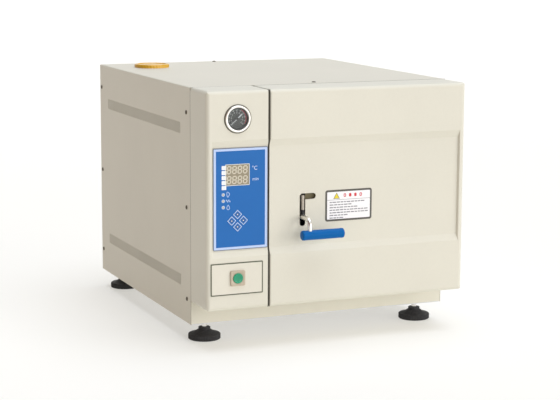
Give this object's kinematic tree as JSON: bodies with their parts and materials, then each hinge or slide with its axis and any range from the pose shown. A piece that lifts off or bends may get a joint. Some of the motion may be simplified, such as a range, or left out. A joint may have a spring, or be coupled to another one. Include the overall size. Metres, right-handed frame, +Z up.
{
  "type": "benchtop autoclave",
  "caption": "Benchtop steam steriliser: sheet-steel case, control fascia, side-hinged door with latch lever, round pressure chamber with trays, levelling feet.",
  "frame": {"origin": "centre of the bounding box in plan, on the bench under the feet", "axes": "+X to the right seen from the front, +Y to the rear, +Z up; the door faces -Y"},
  "size_m": [0.6044, 0.8184, 0.556],
  "materials": {
    "ivory_paint": "satin powder coat",
    "hood_paint": "satin powder coat",
    "galvanised_steel": "zinc plated",
    "bright_steel": "polished",
    "dark_metal": "black enamel",
    "dial_black": "matt",
    "needle_white": "matt",
    "clear_lens": "clear",
    "panel_blue": "semi-gloss membrane",
    "key_blue": "semi-gloss membrane",
    "display_tan": "smoked window",
    "circuit_green": "solder mask",
    "plate_olive": "satin print",
    "bezel_grey": "semi-gloss",
    "button_green": "gloss",
    "stainless": "brushed",
    "insulation": "glass-fibre blanket",
    "silicone": "matt",
    "label_white": "printed film",
    "grip_blue": "gloss",
    "tank_white": "matt",
    "cap_amber": "gloss",
    "brass": "machined",
    "copper": "drawn tube",
    "lever_red": "dipped vinyl",
    "rubber": "matt"
  },
  "bodies": {
    "case": {"base_tray": "galvanised_steel", "front_frame": "ivory_paint", "rear_panel": "ivory_paint", "outer_hood": "hood_paint", "case_screws": "bright_steel", "control_fascia": "ivory_paint", "gauge_case": "bright_steel", "gauge_dial": "dial_black", "gauge_lens": "clear_lens", "keypad_panel": "panel_blue", "display_module": "display_tan", "display_board": "circuit_green", "switch_plate": "plate_olive", "switch_bezel": "bezel_grey", "chamber": "stainless", "insulation_jacket": "insulation", "chamber_saddles": "galvanised_steel", "heater_element": "dark_metal", "tray_rack": "stainless", "hinge_brackets": "dark_metal", "hinge_pins": "bright_steel", "latch_keeper": "bright_steel", "water_tank": "tank_white", "water_pump": "dark_metal", "solenoid_valves": "brass", "pipework": "copper", "fan_frame": "dial_black", "safety_valve": "brass", "drain_valve": "brass", "power_inlet": "dial_black", "control_electronics": "circuit_green"},
    "door": {"door_cover": "ivory_paint", "door_plate": "stainless", "door_gasket": "silicone", "door_yoke": "dark_metal", "notice_label": "label_white", "lever_brackets": "dark_metal"},
    "lever": {"lever_arm": "bright_steel", "lever_grip": "grip_blue"},
    "needle": {"gauge_needle": "needle_white"},
    "key_up": {"key_up": "key_blue"},
    "key_down": {"key_down": "key_blue"},
    "key_left": {"key_left": "key_blue"},
    "key_right": {"key_right": "key_blue"},
    "power_button": {"power_button": "button_green"},
    "filler_cap": {"filler_cap": "cap_amber"},
    "fan": {"fan_rotor": "dial_black"},
    "tray_upper": {"tray_upper": "stainless"},
    "tray_middle": {"tray_middle": "stainless"},
    "tray_lower": {"tray_lower": "stainless"},
    "pull_ring": {"pull_ring": "bright_steel"},
    "drain_lever": {"drain_lever": "lever_red"},
    "foot_fl": {"foot_pad_fl": "rubber", "foot_stud_fl": "bright_steel"},
    "foot_fr": {"foot_pad_fr": "rubber", "foot_stud_fr": "bright_steel"},
    "foot_rl": {"foot_pad_rl": "rubber", "foot_stud_rl": "bright_steel"},
    "foot_rr": {"foot_pad_rr": "rubber", "foot_stud_rr": "bright_steel"}
  },
  "joints": [
    {"name": "door_swing", "type": "hinge", "parent": "case", "child": "door", "pos_m": [0.29, -0.28175, 0.32], "axis": [0, 0, 1], "range_deg": [0, 100]},
    {"name": "latch_lever", "type": "hinge", "parent": "door", "child": "lever", "pos_m": [-0.0832, -0.30875, 0.2764], "axis": [-1, 0, 0], "range_deg": [-14, 38]},
    {"name": "needle_sweep", "type": "hinge", "parent": "case", "child": "needle", "pos_m": [-0.2315, -0.36475, 0.49], "axis": [0, 1, 0], "range_deg": [0, 264]},
    {"name": "press_up", "type": "slide", "parent": "case", "child": "key_up", "axis": [0, 1, 0], "range_m": [0, 0.0004], "stiffness_N_per_m": 600},
    {"name": "press_down", "type": "slide", "parent": "case", "child": "key_down", "axis": [0, 1, 0], "range_m": [0, 0.0004], "stiffness_N_per_m": 600},
    {"name": "press_left", "type": "slide", "parent": "case", "child": "key_left", "axis": [0, 1, 0], "range_m": [0, 0.0004], "stiffness_N_per_m": 600},
    {"name": "press_right", "type": "slide", "parent": "case", "child": "key_right", "axis": [0, 1, 0], "range_m": [0, 0.0004], "stiffness_N_per_m": 600},
    {"name": "press_power", "type": "slide", "parent": "case", "child": "power_button", "axis": [0, 1, 0], "range_m": [0, 0.003], "stiffness_N_per_m": 400},
    {"name": "cap_lift", "type": "slide", "parent": "case", "child": "filler_cap", "axis": [0, 0, 1], "range_m": [0, 0.04]},
    {"name": "fan_spin", "type": "hinge", "parent": "case", "child": "fan", "pos_m": [0.188, 0.33175, 0.162], "axis": [0, 1, 0], "continuous": true},
    {"name": "tray_lower_slide", "type": "slide", "parent": "case", "child": "tray_lower", "axis": [0, -1, 0], "range_m": [0, 0.07]},
    {"name": "tray_middle_slide", "type": "slide", "parent": "case", "child": "tray_middle", "axis": [0, -1, 0], "range_m": [0, 0.07]},
    {"name": "tray_upper_slide", "type": "slide", "parent": "case", "child": "tray_upper", "axis": [0, -1, 0], "range_m": [0, 0.07]},
    {"name": "ring_pull", "type": "slide", "parent": "case", "child": "pull_ring", "axis": [0, 1, 0], "range_m": [0, 0.003], "stiffness_N_per_m": 800},
    {"name": "drain_turn", "type": "hinge", "parent": "case", "child": "drain_lever", "pos_m": [-0.06, 0.37925, 0.098], "axis": [0, 0, 1], "range_deg": [0, 90]},
    {"name": "level_fl", "type": "slide", "parent": "case", "child": "foot_fl", "axis": [0, 0, -1], "range_m": [0, 0.012]},
    {"name": "level_fr", "type": "slide", "parent": "case", "child": "foot_fr", "axis": [0, 0, -1], "range_m": [0, 0.012]},
    {"name": "level_rl", "type": "slide", "parent": "case", "child": "foot_rl", "axis": [0, 0, -1], "range_m": [0, 0.012]},
    {"name": "level_rr", "type": "slide", "parent": "case", "child": "foot_rr", "axis": [0, 0, -1], "range_m": [0, 0.012]}
  ]
}
